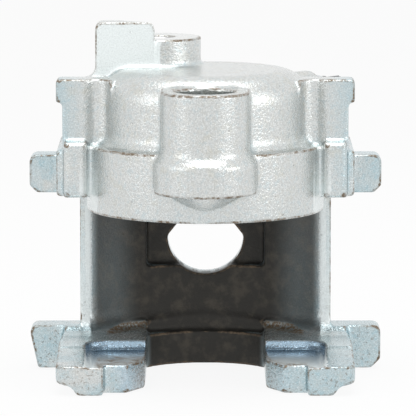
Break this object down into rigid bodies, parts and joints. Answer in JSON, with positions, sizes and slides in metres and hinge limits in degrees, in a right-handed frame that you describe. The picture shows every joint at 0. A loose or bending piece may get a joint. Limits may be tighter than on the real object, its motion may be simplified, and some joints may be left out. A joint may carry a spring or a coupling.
{
  "type": "brake caliper",
  "caption": "Unloaded floating disc-brake caliper: cast housing with bridge, fingers, rail wings, guide bore and banjo inlet, sliding piston with boot, and bleeder screw with cap.",
  "frame": {"origin": "middle of the bounding box's bottom, on the underside of the outboard leg", "axes": "+Z along the cylinder from the fingers to its closed end, +Y from the hub to the bridge, +X to the right seen from the hub"},
  "size_m": [0.1108, 0.098, 0.1119],
  "materials": {
    "zinc_casting": "bright zinc plate over an as-cast surface",
    "piston_chrome": "hard chrome",
    "seal_rubber": "matte",
    "boot_rubber": "matte",
    "ring_steel": "pressed",
    "bleeder_steel": "zinc plated",
    "cap_rubber": "satin"
  },
  "bodies": {
    "housing_body": {"caliper_housing": "zinc_casting", "piston_seal": "seal_rubber", "dust_boot": "boot_rubber", "boot_retaining_ring": "ring_steel"},
    "piston_body": {"piston": "piston_chrome"},
    "bleeder_screw_body": {"bleeder_screw": "bleeder_steel"},
    "bleeder_cap_body": {"bleeder_cap": "cap_rubber"}
  },
  "joints": [
    {"name": "piston_slide", "type": "slide", "parent": "housing_body", "child": "piston_body", "axis": [0, 0, -1], "range_m": [0, 0.012], "deforming": ["dust_boot"]},
    {"name": "bleeder_turn", "type": "hinge", "parent": "housing_body", "child": "bleeder_screw_body", "pos_m": [0, 0.0055, 0.087], "axis": [0.7431, 0.6691, 0], "range_deg": [0, 360]},
    {"name": "bleeder_cap_pull", "type": "slide", "parent": "bleeder_screw_body", "child": "bleeder_cap_body", "axis": [0.7431, 0.6691, 0], "range_m": [0, 0.012]}
  ]
}
